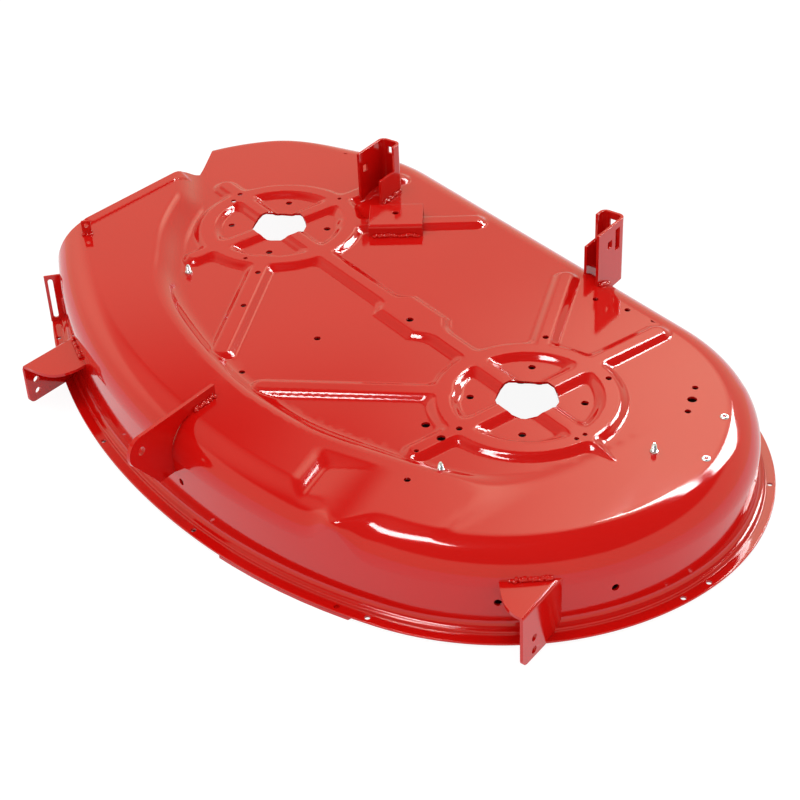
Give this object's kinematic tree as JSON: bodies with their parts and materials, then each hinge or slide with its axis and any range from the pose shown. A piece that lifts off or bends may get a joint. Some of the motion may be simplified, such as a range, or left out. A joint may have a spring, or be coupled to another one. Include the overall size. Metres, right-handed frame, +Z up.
{
  "type": "mower deck shell",
  "caption": "Stamped steel side-discharge mower deck with spindle seats, pressed ribs, rim flange and welded hanger, link and gauge wheel brackets.",
  "frame": {"origin": "on the right spindle axis at the flat top of the pressing, the level of the spindle bolt pads", "axes": "+X to the left spindle and the closed end, +Y to the rear edge, +Z up"},
  "size_m": [1.1443, 0.7466, 0.183],
  "materials": {
    "red_coat": "gloss powder coat",
    "zinc": "zinc plated"
  },
  "bodies": {
    "root": {"deck_shell": "red_coat", "rear_hanger_left": "red_coat", "rear_hanger_right": "red_coat", "rib_bridge": "red_coat", "front_link_bracket": "red_coat", "gauge_bracket_left": "red_coat", "gauge_bracket_right": "red_coat", "chute_ear": "red_coat", "chute_tab": "red_coat", "rim_strip": "red_coat", "studs": "zinc", "rivets": "zinc", "hanger_left_weld": "red_coat", "hanger_right_weld": "red_coat", "bridge_weld": "red_coat", "link_weld": "red_coat", "gauge_left_weld": "red_coat", "gauge_right_weld": "red_coat", "ear_weld": "red_coat", "tab_weld": "red_coat"}
  },
  "joints": []
}
